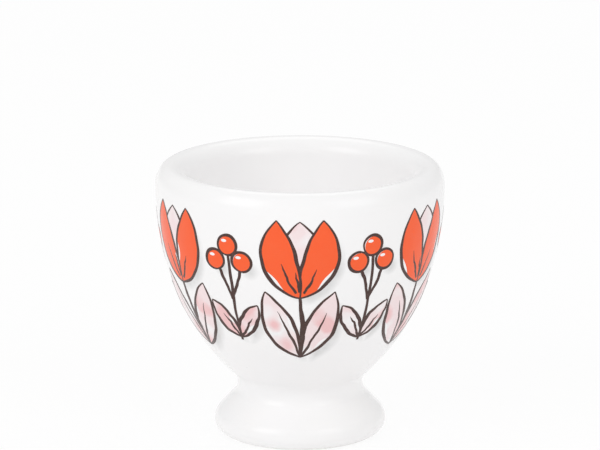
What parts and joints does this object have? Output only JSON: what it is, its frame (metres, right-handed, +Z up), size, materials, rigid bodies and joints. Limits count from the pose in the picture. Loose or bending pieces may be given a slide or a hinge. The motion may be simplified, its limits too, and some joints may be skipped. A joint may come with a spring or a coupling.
{
  "type": "egg cup",
  "caption": "Footed egg cup: a thick-lipped round bowl on a flared hollow foot, white glaze, with a printed band of tulips and berry sprigs round the outside.",
  "frame": {"origin": "centre of the foot ring, on the table", "axes": "+Z up along the axis of the cup, -Y towards the front of the print"},
  "size_m": [0.052, 0.0522, 0.0496],
  "materials": {
    "biscuit": "matte",
    "glaze": "gloss",
    "orange_ink": "gloss",
    "pink_ink": "gloss",
    "dark_ink": "gloss"
  },
  "bodies": {
    "root": {"bowl": "biscuit", "foot": "biscuit", "slip_joint": "biscuit", "glaze_coat": "glaze", "recess_glaze": "glaze", "print_orange_petals": "orange_ink", "print_orange_berries": "orange_ink", "print_pink_petals": "pink_ink", "print_pink_leaves": "pink_ink", "print_dark_stems": "dark_ink"}
  },
  "joints": []
}
